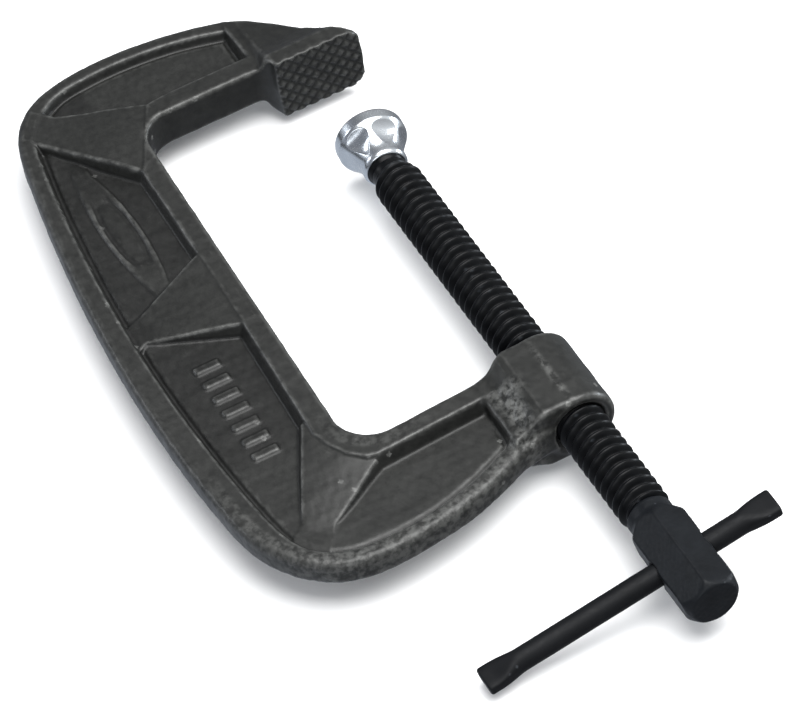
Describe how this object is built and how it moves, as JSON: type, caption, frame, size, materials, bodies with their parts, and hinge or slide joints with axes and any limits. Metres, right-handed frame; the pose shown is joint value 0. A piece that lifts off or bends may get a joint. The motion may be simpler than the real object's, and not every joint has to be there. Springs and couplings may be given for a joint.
{
  "type": "c clamp",
  "caption": "Cast C-shaped screw clamp with a crosshatched anvil, a threaded spindle, a swivelling pressure pad and a sliding tommy bar.",
  "frame": {"origin": "centre of the anvil's gripping face, on the spindle axis", "axes": "+X along the spindle from the anvil to the handle, +Y from the spine to the open side, +Z across the thickness of the casting (up when the clamp lies flat)"},
  "size_m": [0.2368, 0.1103, 0.0195],
  "materials": {
    "cast_body": "satin casting",
    "black_steel": "black oxide",
    "stud_steel": "black oxide",
    "pad_chrome": "polished plating",
    "bar_steel": "black oxide"
  },
  "bodies": {
    "frame": {"frame": "cast_body"},
    "carrier": {"ball_stud": "stud_steel"},
    "spindle": {"screw": "black_steel"},
    "pad": {"swivel_pad": "pad_chrome"},
    "handle": {"tommy_bar": "bar_steel"}
  },
  "joints": [
    {"name": "feed", "type": "slide", "parent": "frame", "child": "carrier", "axis": [1, 0, 0], "range_m": [-0.024, 0.0745]},
    {"name": "turn", "type": "hinge", "parent": "carrier", "child": "spindle", "pos_m": [0.0375, 0, 0], "axis": [1, 0, 0], "range_deg": [-3100, 9600]},
    {"name": "pad_tilt", "type": "hinge", "parent": "carrier", "child": "pad", "pos_m": [0.0375, 0, 0], "axis": [0, 0, 1], "range_deg": [-6, 18]},
    {"name": "bar_slide", "type": "slide", "parent": "spindle", "child": "handle", "axis": [0, 0.9863, 0.165], "range_m": [-0.0084, 0.0365]}
  ],
  "couplings": [
    {"joint": "turn", "follows": "feed", "rad_per_m": 2226.5}
  ]
}
